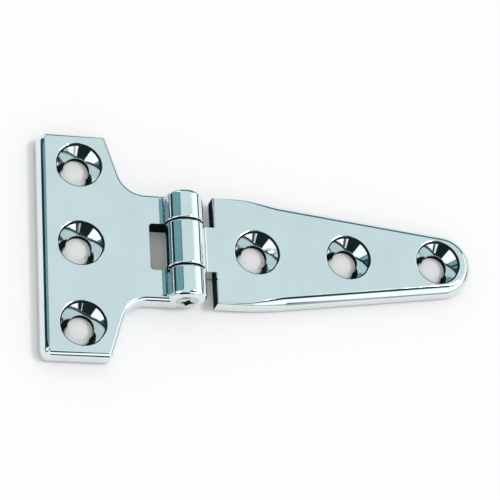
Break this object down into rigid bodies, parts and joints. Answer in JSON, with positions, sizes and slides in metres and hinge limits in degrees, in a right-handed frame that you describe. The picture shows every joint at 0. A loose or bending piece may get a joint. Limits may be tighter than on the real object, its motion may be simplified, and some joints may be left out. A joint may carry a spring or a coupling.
{
  "type": "t hinge",
  "caption": "Cast T hinge with a T-shaped butt leaf, a tapered strap leaf with a round tip, a three-knuckle barrel on a staked pin, and countersunk screw holes.",
  "frame": {"origin": "on the mounting face, directly below the middle of the pin", "axes": "+X from the butt leaf to the tip of the strap, +Y along the pin, +Z out of the mounting face towards the countersunk front"},
  "size_m": [0.1, 0.0528, 0.0093],
  "materials": {
    "leaf_metal": "polished plating over a cast and buffed surface",
    "pin_metal": "turned rod with staked ends"
  },
  "bodies": {
    "butt": {"butt_leaf": "leaf_metal", "hinge_pin": "pin_metal"},
    "strap": {"strap_leaf": "leaf_metal"}
  },
  "joints": [
    {"name": "pivot", "type": "hinge", "parent": "butt", "child": "strap", "pos_m": [0, 0, 0.0049], "axis": [0, -1, 0], "range_deg": [-90, 180]}
  ]
}
